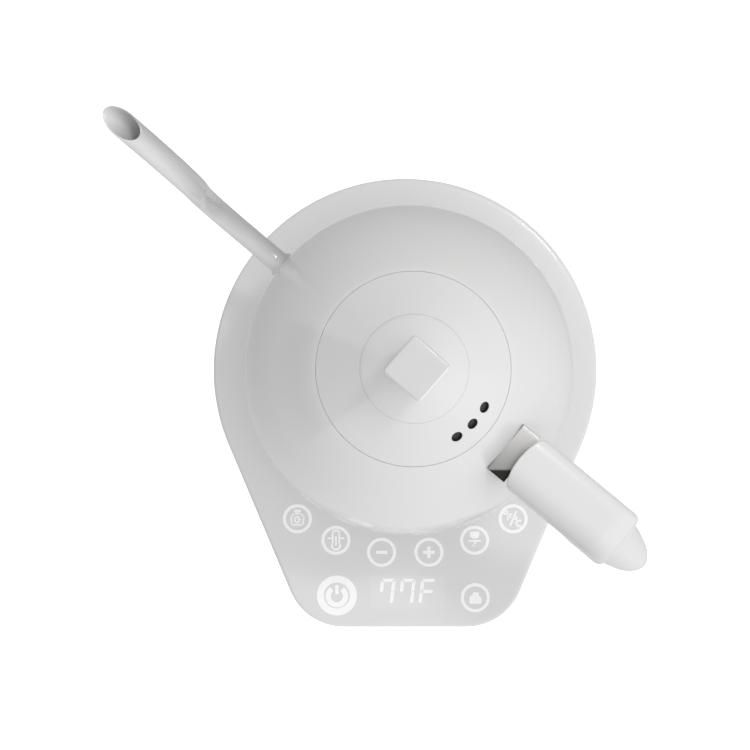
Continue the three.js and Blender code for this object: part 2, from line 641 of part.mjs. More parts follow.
function makeKettle() {
  const kettle = new THREE.Group();
  kettle.rotation.z = KETTLE_TURN;
  add(kettle, 'kettle_body', kettleBody(), 'enamel');
  add(kettle, 'spout', spout(), 'enamel');
  add(kettle, 'kettle_skirt', kettleSkirt(), 'whitePlastic');
  const spreaderTop = FLOOR - GAP;
  const probeHole = rod(PROBE.x, PROBE.y, 40, FLOOR, PROBE.radius + GAP, 12);
  const spreader = rod(0, 0, spreaderTop - SPREADER.thick, spreaderTop, SPREADER.radius, 36);
  add(kettle, 'heat_spreader', spreader.subtract(probeHole), 'aluminium');
  add(kettle, 'heating_element', heatingElement(), 'brushedSteel');
  const below = spreaderTop - SPREADER.thick - GAP;
  add(kettle, 'thermal_cutout', rod(0, 0, below - 7, below, 11, 24), 'blackPlastic');
  add(kettle, 'temperature_probe', rod(PROBE.x, PROBE.y, 44, 62, PROBE.radius, 12), 'brushedSteel');
  LUGS.forEach(([x, y], i) => {
    const lug = rod(x, y, 32, FLOOR - GAP, 3.5, 12).subtract(rod(x, y, 30, 46, 1.5, 10));
    add(kettle, `mounting_lug_${i + 1}`, lug, 'brushedSteel');
    const plate = KETTLE_FOOT + 1.2;
    add(kettle, `skirt_screw_${i + 1}`, screw(x, y, plate - 1, plate - GAP, 44, 2.8, 1.2), 'brushedSteel');
  });
  add(kettle, 'handle_bracket', handleBracket(), 'brushedSteel');
  add(kettle, 'handle_shell', handleShell(), 'whitePlastic');
  add(kettle, 'handle_cover', handleCover(), 'whitePlastic');
  HANDLE_SCREWS.forEach((x, i) => {
    const low = HANDLE.under + 0.3;
    add(kettle, `handle_screw_${i + 1}`, screw(x, 0, low, low + 1.4, 140, 3.1, 1.6), 'brushedSteel');
  });
  add(kettle, 'lid_seal', lidSeal(), 'silicone');
  kettle.add(makeLid());
  return kettle;
}

const group = new THREE.Group();
group.position.set(AXIS_FROM_ORIGIN.x, AXIS_FROM_ORIGIN.y, 0);
group.add(makeBase(), makeSocket(), makeKettle());

export default group;
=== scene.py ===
"""Looks for an electric gooseneck kettle that stands, turned, on its touch-control power base.

Shapes are worked out in millimetres about the swivel axis, +Z up, and are placed in the frame in metres.
"""
import json
import math

import bmesh
import bpy
from mathutils import Matrix, Vector
from mathutils.geometry import tessellate_polygon

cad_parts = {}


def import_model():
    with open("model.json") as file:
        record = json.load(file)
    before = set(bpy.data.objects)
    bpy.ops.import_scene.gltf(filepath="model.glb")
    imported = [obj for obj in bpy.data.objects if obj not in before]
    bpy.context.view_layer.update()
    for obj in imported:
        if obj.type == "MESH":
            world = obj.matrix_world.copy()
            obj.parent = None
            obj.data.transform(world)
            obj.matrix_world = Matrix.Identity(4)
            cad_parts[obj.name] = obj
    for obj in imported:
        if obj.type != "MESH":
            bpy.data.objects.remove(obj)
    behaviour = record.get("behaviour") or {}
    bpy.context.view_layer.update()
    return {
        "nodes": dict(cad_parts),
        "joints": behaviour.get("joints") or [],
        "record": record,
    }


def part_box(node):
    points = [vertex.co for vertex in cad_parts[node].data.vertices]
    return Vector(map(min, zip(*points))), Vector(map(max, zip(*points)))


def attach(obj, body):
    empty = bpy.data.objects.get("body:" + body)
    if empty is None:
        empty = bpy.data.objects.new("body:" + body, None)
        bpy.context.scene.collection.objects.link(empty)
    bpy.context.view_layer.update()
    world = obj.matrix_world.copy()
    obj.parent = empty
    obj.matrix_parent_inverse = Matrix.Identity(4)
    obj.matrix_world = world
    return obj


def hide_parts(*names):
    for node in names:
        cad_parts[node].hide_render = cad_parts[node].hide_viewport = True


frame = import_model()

MM = 0.001
DEGREE = math.pi / 180
AXIS = Vector(next(joint["pos_m"] for joint in frame["joints"] if joint["name"] == "kettle_swivel"))
AXIS.z = 0


def low(node):
    """A CAD node's lowest height, in millimetres."""
    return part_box(node)[0].z / MM


def high(node):
    """A CAD node's highest point, in millimetres."""
    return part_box(node)[1].z / MM


def heights(node):
    """A CAD node's lowest and highest points."""
    return low(node), high(node)


def centre(node):
    """The middle of a CAD node, in millimetres from the axis."""
    lower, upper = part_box(node)
    return ((lower + upper) / 2 - AXIS) / MM


def add_object(name, data):
    obj = bpy.data.objects.new(name, data)
    bpy.context.scene.collection.objects.link(obj)
    return obj


# ---- camera ----
def add_camera():
    camera = add_object("camera", bpy.data.cameras.new("camera"))
    right, back, above = -14.94, -2.34, 650
    camera.location = AXIS + Vector((right, back, above)) * MM
    camera.data.sensor_width = 36
    camera.data.lens = 60.98
    camera.data.clip_start = 0.01
    bpy.context.scene.camera = camera


add_camera()

# ---- the main dimensions, in millimetres ----
KETTLE_TURN = -39.7 * DEGREE
LID_TURN = KETTLE_TURN - 3.3 * DEGREE
TURN_OF = {"kettle": KETTLE_TURN, "lid": LID_TURN, "lid_seal": LID_TURN}
BASE_RADIUS = 95
BASE_FRONT = -127.2
BASE_CORNER = 28.7
BASE_SIDE_TILT = 22.9 * DEGREE
BASE_TOP = high("base_top_cover")
BASE_SPLIT = low("base_top_cover")
BOSS_RADIUS = 19
WIDEST_RADIUS, WIDEST_HEIGHT = 73.65, 77
SEAM_RADIUS = 38
SEAM_HEIGHT = high("kettle_body")
SEAM_SLOPE = 40 * DEGREE
CAP_RADIUS, CAP_HEIGHT = 20.66, high("lid_shell")
CAP_SEAT = CAP_HEIGHT - 2
LEDGE = 151.2
VENT_RADIUS = 2.3
SHEET = 1.2
SPOUT_RADIUS, SPOUT_BORE = 4.9, 4.3
SPOUT_MOUTH = high("spout")
SPOUT_LINE = [
    (71.5, 81), (84, 84), (98, 90), (109, 101), (113.3, 117), (112.6, 135),
    (112, 150), (114.3, 164), (119.8, 177), (127.6, 187.4), (137.2, 195), (149, 203),
]
HANDLE_TOP, HANDLE_UNDER = high("handle_shell"), 130.5
HANDLE_FRONT, HANDLE_FRONT_FOOT, HANDLE_BULGE = 54.4, 61.5, 28
KNEE, LEG_END, LEG_THICK = Vector((111.5, 128)), Vector((139.2, 79)), 20
COVER_THICK, SEAM = 3, 0.3
# Half the grip's width and the height where it has it: widest at the knee, slim down the leg.
GRIP_SIDE = [
    (6, 60), (7.4, 74), (9.4, 81), (10.8, 96), (11, 116), (13, 125), (13.2, 130), (12.5, 142), (12.3, 160),
]


# ---- materials ----
WHITE = (1, 1, 1, 1)


def new_material(name):
    """A material, with its node tree and its surface node."""
    material = bpy.data.materials.new(name)
    material.use_nodes = True
    return material, material.node_tree, material.node_tree.nodes["Principled BSDF"]


def set_inputs(node, values):
    for name, value in values.items():
        node.inputs[name].default_value = value


def ramp(tree, source, start, end, low_value, high_value, smooth=False):
    """A value that goes from one to another while its source goes from start to end."""
    node = tree.nodes.new("ShaderNodeMapRange")
    if smooth:
        node.interpolation_type = "SMOOTHSTEP"
    set_inputs(node, {"From Min": start, "From Max": end, "To Min": low_value, "To Max": high_value})
    tree.links.new(source, node.inputs["Value"])
    return node.outputs["Result"]


def share_along(tree, source, direction):
    """How far a point or a direction reaches along another direction."""
    node = tree.nodes.new("ShaderNodeVectorMath")
    node.operation = "DOT_PRODUCT"
    node.inputs[1].default_value = direction
    tree.links.new(source, node.inputs[0])
    return node.outputs["Value"]


def noise(tree, scale, detail=2, place=None):
    node = tree.nodes.new("ShaderNodeTexNoise")
    set_inputs(node, {"Scale": scale, "Detail": detail})
    if place:
        tree.links.new(place, node.inputs["Vector"])
    return node.outputs["Fac"]


def finish(name, color, roughness, metallic=0.0, coat=0.0, grain=900, bump=0.02, shade=0.03,
           stretch=(1, 1, 1), rough_swing=0.05, glow=0.0):
    """A finish whose colour, gloss and surface vary a little, from noise fixed to the piece."""
    material, tree, surface = new_material(name)
    place = tree.nodes.new("ShaderNodeTexCoord")
    scale = tree.nodes.new("ShaderNodeMapping")
    scale.inputs["Scale"].default_value = stretch
    tree.links.new(place.outputs["Object"], scale.inputs["Vector"])
    fine = noise(tree, grain, 4, scale.outputs["Vector"])
    broad = noise(tree, grain / 30, 2, scale.outputs["Vector"])
    tint = tree.nodes.new("ShaderNodeMix")
    tint.data_type = "RGBA"
    tint.inputs["A"].default_value = (*[c * (1 - shade) for c in color], 1)
    tint.inputs["B"].default_value = (*[min(1, c * (1 + shade)) for c in color], 1)
    tree.links.new(broad, tint.inputs["Factor"])
    tree.links.new(tint.outputs["Result"], surface.inputs["Base Color"])
    gloss = ramp(tree, broad, 0, 1, max(0.02, roughness - rough_swing), min(1, roughness + rough_swing))
    tree.links.new(gloss, surface.inputs["Roughness"])
    relief = tree.nodes.new("ShaderNodeBump")
    set_inputs(relief, {"Strength": bump, "Distance": 0.3 * MM})
    tree.links.new(fine, relief.inputs["Height"])
    tree.links.new(relief.outputs["Normal"], surface.inputs["Normal"])
    set_inputs(surface, {"Metallic": metallic, "Coat Weight": coat, "Coat Roughness": 0.06})
    if glow:
        set_inputs(surface, {"Emission Color": WHITE, "Emission Strength": glow})
    return material


def scale_colour(tree, share):
    """Multiplies a finish's colour by a value."""
    surface = tree.nodes["Principled BSDF"]
    scaled = tree.nodes.new("ShaderNodeVectorMath")
    scaled.operation = "SCALE"
    tree.links.new(surface.inputs["Base Color"].links[0].from_socket, scaled.inputs[0])
    tree.links.new(share, scaled.inputs["Scale"])
    tree.links.new(scaled.outputs["Vector"], surface.inputs["Base Color"])


def paint_shade(name, direction, start, end, dark):
    """Paints shade on a finish: darkens it along a direction, from one distance from the origin to another.
    """
    tree = FINISH[name].node_tree
    place = tree.nodes.new("ShaderNodeTexCoord").outputs["Object"]
    distance = share_along(tree, place, direction)
    scale_colour(tree, ramp(tree, distance, start * MM, end * MM, dark, 1, smooth=True))


def paint_highlight(name, direction, start, end, gain):
    """Paints a highlight on a finish: brightens it where it faces a direction, as if lit from there."""
    tree = FINISH[name].node_tree
    normal = tree.nodes.new("ShaderNodeNewGeometry").outputs["Normal"]
    facing = share_along(tree, normal, direction.normalized())
    scale_colour(tree, ramp(tree, facing, start, end, 1, gain))


MOULDED = dict(coat=0.6, grain=2600, bump=0.03, shade=0.005, rough_swing=0.01)
LOOKS = {
    "enamel": ((0.76, 0.76, 0.757), 0.16, dict(coat=1, grain=1400, bump=0.015, shade=0.01)),
    # A little darker copy of the enamel that carries painted shade on one side of the spout.
    "spout_enamel_painted_shade": ((0.74, 0.74, 0.737), 0.2, dict(coat=0.7, grain=1400, bump=0.002, shade=0.01)),
    "white_plastic": ((0.77, 0.77, 0.768), 0.28, MOULDED),
    # A darker copy of the white plastic for the knob, with a painted highlight on its edges.
    "knob_plastic": ((0.67, 0.67, 0.668), 0.28, MOULDED),
    # A copy of the white plastic that carries painted shade on one side of the grip.
    "grip_plastic_painted_shade": ((0.77, 0.77, 0.768), 0.28, MOULDED),
    "icon_print": ((0.86, 0.86, 0.86), 0.35, dict(grain=2600, bump=0.03, shade=0.01, glow=0.15)),
    "display_tint": ((0.8, 0.8, 0.8), 0.22, dict(grain=2600, bump=0.02, shade=0.01)),
    "grey_plastic": ((0.52, 0.52, 0.51), 0.55, dict(grain=2200, bump=0.18)),
    "black_plastic": ((0.022, 0.022, 0.024), 0.45, dict(grain=2200, bump=0.12, shade=0.2)),
    "brushed_steel": (
        (0.5, 0.495, 0.48), 0.34,
        dict(metallic=1, grain=420, bump=0.25, stretch=(1, 1, 30), shade=0.12, rough_swing=0.08)),
    # The bracket's steel, with painted shade across it and a painted dark corner.
    "bracket_steel_painted_shade": (
        (0.54, 0.537, 0.525), 0.42,
        dict(metallic=1, grain=600, bump=0.3, stretch=(3, 3, 3), shade=0.1, rough_swing=0.08)),
    "steel": ((0.6, 0.6, 0.6), 0.28, dict(metallic=1, grain=1500, bump=0.08, shade=0.08)),
    "aluminium": ((0.66, 0.67, 0.68), 0.42, dict(metallic=1, grain=1200, bump=0.2, shade=0.06)),
    "brass": ((0.72, 0.5, 0.2), 0.28, dict(metallic=1, grain=1200, bump=0.08, shade=0.1)),
    "rubber": ((0.05, 0.05, 0.052), 0.8, dict(grain=2400, bump=0.25, shade=0.2)),
    "silicone": ((0.7, 0.7, 0.68), 0.5, dict(grain=1500, bump=0.06)),
    "circuit_board": ((0.03, 0.16, 0.07), 0.4, dict(grain=700, bump=0.2, shade=0.3)),
}
FINISH = {name: finish(name, color, roughness, **rest) for name, (color, roughness, rest) in LOOKS.items()}


def paint_light_on_finishes():
    """Painted shade on the bracket, the spout and the grip, a painted dark corner on the bracket, and a
    painted highlight on the knob's edges.
    """
    sideways = KETTLE_TURN + math.pi / 2
    across = Vector((math.cos(sideways), math.sin(sideways), 0))
    middle = across.dot(AXIS) / MM
    # Painted shade: the bracket darkens towards one side.
    paint_shade("bracket_steel_painted_shade", across, middle - 12, middle + 9, 0.6)
    # Painted shade: the bracket's corner beyond a line of constant Y is darkened almost to black.
    paint_shade("bracket_steel_painted_shade", Vector((0, 1, 0)), AXIS.y / MM - 40.6, AXIS.y / MM - 39.6, 0.1)
    # Painted shade: the spout darkens towards one side.
    paint_shade("spout_enamel_painted_shade", -across, -middle - 4, -middle + 3, 0.62)
    # Painted shade: the grip darkens towards one side.
    paint_shade("grip_plastic_painted_shade", across, middle - 12, middle - 1, 0.8)
    # Painted highlight: the knob's faces turned towards +X, -Y and up are brightened.
    paint_highlight("knob_plastic", Vector((1, -1, 1.4)), 0.84, 0.96, 1.32)


paint_light_on_finishes()


# ---- building meshes ----
def piece(name, shape, body, finish_name, nodes=(), turn=None):
    """A closed piece about the swivel axis that rides on a body, and is turned as that body is."""
    verts, faces = shape
    turn = TURN_OF.get(body, 0) if turn is None else turn
    mesh = bpy.data.meshes.new(name)
    mesh.from_pydata([tuple(v) for v in verts], [], faces)
    joined = bmesh.new()
    joined.from_mesh(mesh)
    bmesh.ops.remove_doubles(joined, verts=joined.verts, dist=1e-4)
    bmesh.ops.recalc_face_normals(joined, faces=joined.faces)
    joined.to_mesh(mesh)
    joined.free()
    mesh.transform(Matrix.Translation(AXIS) @ Matrix.Rotation(turn, 4, "Z") @ Matrix.Scale(MM, 4))
    obj = add_object(name, mesh)
    smooth_but_sharp(mesh)
    mesh.materials.append(FINISH[finish_name])
    if body:
        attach(obj, body)
    if nodes:
        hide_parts(*nodes)
    return obj


def smooth_but_sharp(mesh, limit=34 * DEGREE):
    """Smooth shading, with every edge sharper than the limit kept crisp."""
    shape = bmesh.new()
    shape.from_mesh(mesh)
    for face in shape.faces:
        face.smooth = True
    for edge in shape.edges:
        edge.smooth = len(edge.link_faces) == 2 and edge.calc_face_angle(0) < limit
    shape.to_mesh(mesh)
    shape.free()


def quarter_round(radius, steps, first=0):
    """How far a rounded edge is drawn in, and how far short of its face, from the side to the face."""
    angles = [k / steps * math.pi / 2 for k in range(first, steps + 1)]
    return [(radius * (1 - math.cos(a)), radius * (1 - math.sin(a))) for a in angles]


def full_turn(steps):
    """Angles once round in even steps, without the last one."""
    return [2 * math.pi * k / steps for k in range(steps)]


def rounded(points, radius, steps=4):
    """A closed outline with each corner rounded, as far as its sides allow."""
    result = []
    for i, corner in enumerate(points):
        here = Vector(corner)
        before = Vector(points[i - 1]) - here
        after = Vector(points[(i + 1) % len(points)]) - here
        reach = min(radius, 0.45 * before.length, 0.45 * after.length)
        start = here + before.normalized() * reach
        end = here + after.normalized() * reach
        for k in range(steps + 1):
            t = k / steps
            result.append(tuple(start * (1 - t) ** 2 + here * 2 * t * (1 - t) + end * t ** 2))
    return result


def bezier(points, steps):
    """Points along a quadratic or cubic curve."""
    def at(t, control):
        while len(control) > 1:
            control = [a.lerp(b, t) for a, b in zip(control, control[1:])]
        return tuple(control[0])
    return [at(k / steps, [Vector(p) for p in points]) for k in range(steps + 1)]


def beside(points, distance):
    """An open line moved sideways, to the left of its direction."""
    moved = []
    for i, (x, y) in enumerate(points):
        before = points[max(i - 1, 0)]
        after = points[min(i + 1, len(points) - 1)]
        along = Vector((after[0] - before[0], after[1] - before[1])).normalized()
        moved.append((x - along.y * distance, y + along.x * distance))
    return moved


def bridge(a, b):
    """Faces between two rings of vertex numbers; a ring of one is a pole."""
    if len(a) == 1 and len(b) == 1:
        return []
    n = max(len(a), len(b))
    faces = []
    for i in range(n):
        j = (i + 1) % n
        corners = [a[i % len(a)], a[j % len(a)], b[j % len(b)], b[i % len(b)]]
        faces.append(list(dict.fromkeys(corners)))
    return faces


def skin(rings, closed=False, caps=True):
    """Vertices and faces of a body made of rings of points, closed on itself or capped."""
    verts, numbers = [], []
    for ring in rings:
        numbers.append(list(range(len(verts), len(verts) + len(ring))))
        verts.extend(ring)
    pairs = list(zip(numbers, numbers[1:]))
    if closed:
        pairs.append((numbers[-1], numbers[0]))
    faces = [face for a, b in pairs for face in bridge(a, b)]
    if caps and not closed:
        faces += [ring for ring in (numbers[0], numbers[-1]) if len(ring) > 2]
    return verts, faces


def circle(radius, height, around):
    if radius < 1e-6:
        return [(0, 0, height)]
    return [(radius * math.cos(a), radius * math.sin(a), height) for a in full_turn(around)]


def turned(profile, around=96):
    """A body of revolution; its profile starts and ends on the axis, or closes on itself."""
    rings = [circle(r, z, around) for r, z in profile]
    return skin(rings, closed=profile[0][0] > 1e-6, caps=False)


def shifted(shape, x, y):
    verts, faces = shape
    return [(vx + x, vy + y, vz) for vx, vy, vz in verts], faces


def placed(shape, matrix):
    verts, faces = shape
    return [matrix @ Vector(v) for v in verts], faces


def drill(radius, start, end, around, matrix):
    """A cylinder along the matrix's own Z axis, to cut a hole with."""
    return placed(turned([(0, start), (radius, start), (radius, end), (0, end)], around), matrix)


def drill_up(radius, start, end, around, x, y=0):
    return drill(radius, start, end, around, Matrix.Translation((x, y, 0)))


def pointing_back(y, height):
    """Moves the origin back and up, and turns +Z to point along +Y."""
    return Matrix.Translation((0, y, height)) @ Matrix.Rotation(-90 * DEGREE, 4, "X")


def carve(obj, cutters, turn=0.0):
    """Cuts bodies out of a piece for good."""
    tools = []
    for i, shape in enumerate(cutters):
        tool = piece(f"{obj.name}_cutter_{i}", shape, None, "steel", turn=turn)
        cut = obj.modifiers.new(tool.name, "BOOLEAN")
        cut.object = tool
        cut.solver = "EXACT"
        tools.append(tool)
    bpy.context.view_layer.update()
    result = obj.evaluated_get(bpy.context.evaluated_depsgraph_get())
    mesh = bpy.data.meshes.new_from_object(result)
    mesh.name = obj.name
    obj.modifiers.clear()
    obj.data = mesh
    for tool in tools:
        bpy.data.objects.remove(tool)
    smooth_but_sharp(mesh)


# ---- power base ----
def base_outline(inset, height):
    """The base's outline drawn in by a distance: round back, tangent sides, round front corners."""
    corner_y = BASE_FRONT + BASE_CORNER
    reach = BASE_RADIUS - BASE_CORNER + math.sin(BASE_SIDE_TILT) * corner_y
    corner_x = reach / math.cos(BASE_SIDE_TILT)
    left, right = math.pi + BASE_SIDE_TILT, 2 * math.pi - BASE_SIDE_TILT
    arcs = [
        (0, 0, BASE_RADIUS, -BASE_SIDE_TILT, left, 110),
        (-corner_x, corner_y, BASE_CORNER, left, 1.5 * math.pi, 18),
        (corner_x, corner_y, BASE_CORNER, 1.5 * math.pi, right, 18),
    ]
    points = []
    for x, y, radius, start, end, steps in arcs:
        for k in range(steps + 1):
            a = start + (end - start) * k / steps
            points.append((x + (radius - inset) * math.cos(a), y + (radius - inset) * math.sin(a), height))
    return points


def round_in(radius, height):
    """The circle of that radius with one point towards each point of the base's outline."""
    points = []
    for x, y, _ in base_outline(0, 0):
        scale = radius / math.hypot(x, y)
        points.append((x * scale, y * scale, height))
    return points


def base_top_cover():
    """The cover: a rounded edge, a shallow round channel about the boss, and open below."""
    edge, wall, gap, depth = 2.2, 2.2, 0.3, 0.6
    rings = [base_outline(0.25, BASE_SPLIT), base_outline(0, BASE_SPLIT + 0.3)]
    rings += [base_outline(drawn_in, BASE_TOP - short) for drawn_in, short in quarter_round(edge, 7)]
    rings.append(base_outline(edge + 1.5, BASE_TOP))
    channel = [(36, 0), (35.4, -0.15), (34.8, -depth), (25.2, -depth), (24.6, -0.15), (24, 0),
               (BOSS_RADIUS + 0.8, 0), (BOSS_RADIUS + gap, -0.5)]
    rings += [round_in(r, BASE_TOP + dz) for r, dz in channel]
    rings.append(round_in(BOSS_RADIUS + gap, BASE_TOP - wall))
    rings.append(base_outline(wall, BASE_TOP - wall))
    rings.append(base_outline(wall, BASE_SPLIT))
    shape = skin(rings, closed=True)
    cover = piece("base_top_cover_skin", shape, "base", "white_plastic", ["base_top_cover"])
    lower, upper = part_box("cord_gland")
    carve(cover, [drill(4.9, 0, 30, 40, pointing_back(80, (lower.z + upper.z) / 2 / MM))])


def screw_places(prefix):
    """The middle of each screw of a set, about the axis, in millimetres."""
    return {name: centre(name) for name in sorted(n for n in frame["nodes"] if n.startswith(prefix))}


def base_bottom_cover():
    foot, top, middle = low("base_bottom_cover"), BASE_SPLIT - 0.3, 30
    edge = [(0.6, top), (0.6, foot + 0.7), (0.8, foot + 0.25), (1.3, foot)]
    outside = [base_outline(inset, height) for inset, height in edge]
    rings = [[(0, 0, top)], round_in(middle, top), *outside, round_in(middle, foot), [(0, 0, foot)]]
    shape = skin(rings, caps=False)
    cover = piece("base_bottom_cover_skin", shape, "base", "grey_plastic", ["base_bottom_cover"])
    places = screw_places("base_screw").values()
    carve(cover, [drill_up(3.3, -1, foot + 1.2, 24, p.x, p.y) for p in places])


def feet():
    for name in sorted(n for n in frame["nodes"] if n.startswith("foot_")):
        lower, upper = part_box(name)
        radius, top, hollow = (upper.x - lower.x) / 2 / MM, upper.z / MM, 0.35
        rim = rounded([(radius, top), (radius, 0.05), (radius - 1.2, 0)], 0.6, 3)[3:]
        inside = [(radius - 1.6, 0), (radius - 2.1, hollow), (0, hollow)]
        profile = [(0, top), (radius - 0.3, top), *rim, *inside]
        place = centre(name)
        piece(f"{name}_pad", shifted(turned(profile, 40), place.x, place.y), "base", "rubber", [name])


def screw_piece(name, body):
    """A screw that points up, with a dished head and a six-lobed drive in its underside."""
    place = centre(name)
    foot, top = heights(name)
    head = {"b": 2.8, "s": 2.8, "h": 3.1, "k": 4.5}[name[0]]
    shank, thick = (1.2, 0.7) if head < 3 else (1.6, 1.2)
    around, lobes, lobe_depth, pitch = 48, 6, 0.16, 0.8

    def lobed(radius, height):
        ring = []
        for a in full_turn(around):
            r = radius * (1 + lobe_depth * math.cos(lobes * a))
            ring.append((r * math.cos(a), r * math.sin(a), height))
        return ring

    rings = [[(0, 0, foot + thick * 0.8)], lobed(head * 0.38, foot + thick * 0.8),
             lobed(head * 0.42, foot + 0.05), circle(head * 0.7, foot, around),
             circle(head * 0.93, foot + thick * 0.25, around), circle(head, foot + thick * 0.7, around),
             circle(head, foot + thick, around), circle(shank, foot + thick, around)]
    height = foot + thick + pitch
    while height + pitch < top - 0.4:
        rings += [circle(shank * 0.84, height, around), circle(shank, height + pitch / 2, around)]
        height += pitch
    rings += [circle(shank * 0.6, top, around), [(0, 0, top)]]
    shape = shifted(skin(rings, caps=False), place.x, place.y)
    piece(f"{name}_turned", shape, body, "steel", [name], 0)


def cord_gland():
    lower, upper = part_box("cord_gland")
    radius, bore = (upper.x - lower.x) / 2 / MM, 3.4
    start, end = (lower.y - AXIS.y) / MM, (upper.y - AXIS.y) / MM
    length = end - start
    outline = [(bore, 0), (radius, 0), (radius, length - 0.2), (radius - 0.7, length), (bore, length)]
    shape = placed(turned(rounded(outline, 0.4, 3), 48), pointing_back(start, (upper.z + lower.z) / 2 / MM))
    piece("cord_bushing", shape, "base", "rubber", ["cord_gland"])


def contact(node, kind, inner, outer, body, around=72):
    """A brass ring as high as its CAD node."""
    foot, top = heights(node)
    outline = [(inner, foot), (outer, foot), (outer, top), (inner, top)]
    shape = turned(rounded(outline, 0.25, 2), around)
    piece(f"{node}_{kind}", shape, body, "brass", [node])


def connector():
    """The boss of the cordless connector with its two ring slots, and the contacts in them."""
    foot, top = heights("connector_housing")
    slots, floor, bore, flange = {"live": (8, 10), "neutral": (13, 15)}, 14, 4.3, 24
    section = [(bore, foot), (21, foot), (21, 17), (flange, 17), (flange, 19.5),
               (BOSS_RADIUS, 19.5), (BOSS_RADIUS, top)]
    for inner, outer in reversed(slots.values()):
        section += [(outer, top), (outer, floor), (inner, floor), (inner, top)]
    section.append((bore, top))
    piece("connector_boss", turned(rounded(section, 0.7)), "base", "black_plastic", ["connector_housing"])
    for kind, (inner, outer) in slots.items():
        contact(f"base_contact_{kind}", "ring", inner + 0.3, outer - 0.3, "base")
        contact(f"socket_ring_{kind}", "blade", inner + 0.6, outer - 0.6, "kettle_socket")
    contact("base_contact_earth", "cup", 2.4, 4, "base", 48)


def connector_socket():
    """The earth pin and the upside-down cup under the kettle that comes down over the boss."""
    node, radius = "socket_earth_pin", 3.2
    foot, top = heights(node)
    nose = rounded([(radius, foot), (radius, top), (0, top)], 1.1, 5)[:12]
    pin = turned([(0, foot), *nose, (0, top)], 48)
    piece(f"{node}_turned", pin, "kettle_socket", "brass", [node])
    node, outer, inner = "socket_housing", 24.5, 22.5
    foot, top = heights(node)
    roof = top - 3
    lip = rounded([(inner, foot), (outer, foot), (outer, top)], 0.5, 3)[4:]
    cup = turned([(0, roof), (inner - 0.6, roof), (inner, roof - 0.6), *lip, (0, top)])
    piece(f"{node}_moulded", cup, "kettle_socket", "black_plastic", [node])


# ---- touch controls ----
def arc_band(x, y, inner, outer, start=0.0, end=360.0, steps=48):
    """A flat ring, or part of one, as an outline with its hole opened by a cut too thin to see."""
    angles = [(start + (end - start) * k / steps) * DEGREE for k in range(steps + 1)]
    outside = [(x + outer * math.cos(a), y + outer * math.sin(a)) for a in angles]
    inside = [(x + inner * math.cos(a), y + inner * math.sin(a)) for a in reversed(angles)]
    return outside + inside


def bar(x0, y0, x1, y1, width, round_ends=True):
    """A straight stroke between two points."""
    start, end = Vector((x0, y0)), Vector((x1, y1))
    along = (end - start).normalized()
    side = Vector((-along.y, along.x)) * width / 2
    outline = []
    for middle, turn in ((end, -90), (start, 90)):
        if not round_ends:
            edge = side if turn < 0 else -side
            outline += [tuple(middle - edge), tuple(middle + edge)]
            continue
        first_angle = math.atan2(along.y, along.x) + turn * DEGREE
        for k in range(9):
            a = first_angle + k / 8 * math.pi
            outline.append((middle.x + width / 2 * math.cos(a), middle.y + width / 2 * math.sin(a)))
    return outline


def printed(name, outlines, finish_name="icon_print", height=BASE_TOP + 0.02, thick=0.1):
    """Flat outlines as thin closed solids on the base's top."""
    verts, faces = [], []
    for outline in outlines:
        n, first = len(outline), len(verts)
        verts += [(x, y, height) for x, y in outline] + [(x, y, height + thick) for x, y in outline]
        lower, upper = list(range(first, first + n)), list(range(first + n, first + 2 * n))
        triangles = tessellate_polygon([[Vector((x, y, 0)) for x, y in outline]])
        faces += bridge(lower, upper)
        faces += [[ring[a], ring[b], ring[c]] for ring in (lower, upper) for a, b, c in triangles]
    piece(name, (verts, faces), "base", finish_name)


def at(outlines, x, y):
    return [[(px + x, py + y) for px, py in outline] for outline in outlines]


def glyph_timer():
    case = [(-2.7, -3), (2.7, -3), (3.1, 1.1), (1.7, 2.6), (-1.7, 2.6), (-3.1, 1.1)]
    sides = [bar(*a, *b, 1) for a, b in zip(case, case[1:] + case[:1])]
    dial, hand = arc_band(0, -0.4, 0.9, 1.8, 30, 330, 24), bar(0.2, -0.4, 1.5, -0.4, 0.8)
    return sides + [bar(-1.2, 3.9, 1.2, 3.9, 1.3), dial, hand]


def glyph_thermometer():
    tube = [arc_band(0, 3.2, 1.1, 2.2, 0, 180, 16)]
    tube += [bar(x, 3.2, x, -1.4, 1.1) for x in (-1.65, 1.65)]
    bulb = [arc_band(0, -2.6, 1.5, 2.6, -215, 35, 24), bar(0, 1.8, 0, -2.4, 0.9)]
    return tube + bulb + [bar(-3.8, 1, -2.2, 1, 1), bar(2.2, 1, 3.8, 1, 1)]


def glyph_minus():
    return [bar(-2.8, 0, 2.8, 0, 1.6, False)]


def glyph_plus():
    return [bar(*ends, 1.6, False) for ends in ((-2.9, 0, 2.9, 0), (0, 0.8, 0, 2.9), (0, -2.9, 0, -0.8))]


def glyph_dripper():
    cup = [(-2.3, 4.3), (2.3, 4.3), (2.3, 1.8), (1, 0.8), (-1, 0.8), (-2.3, 1.8)]
    drop = arc_band(-0.3, -2.4, 0, 0.9, 0, 360, 20)[:20]
    return [rounded(cup, 0.5, 2), bar(-2.8, -0.3, 2.8, -0.3, 0.9), bar(0.3, -1.4, -0.3, -2.4, 1.1), drop]


def glyph_units():
    """A ring and strokes to each side of a slash, for the two temperature scales."""
    left = [arc_band(-3.7, 3, 0.4, 1.2, 0, 360, 18), bar(-2.6, -0.4, -2.6, 2.2, 1),
            bar(-2.6, 2.1, -0.9, 2.1, 1), bar(-2.5, 0.9, -1.3, 0.9, 0.9)]
    right = [arc_band(3, -2.3, 0.9, 1.9, 50, 310, 20), arc_band(1.3, 0.3, 0.3, 1, 0, 360, 18)]
    return left + [bar(-1.4, -3.2, 1.5, 3.4, 1)] + right


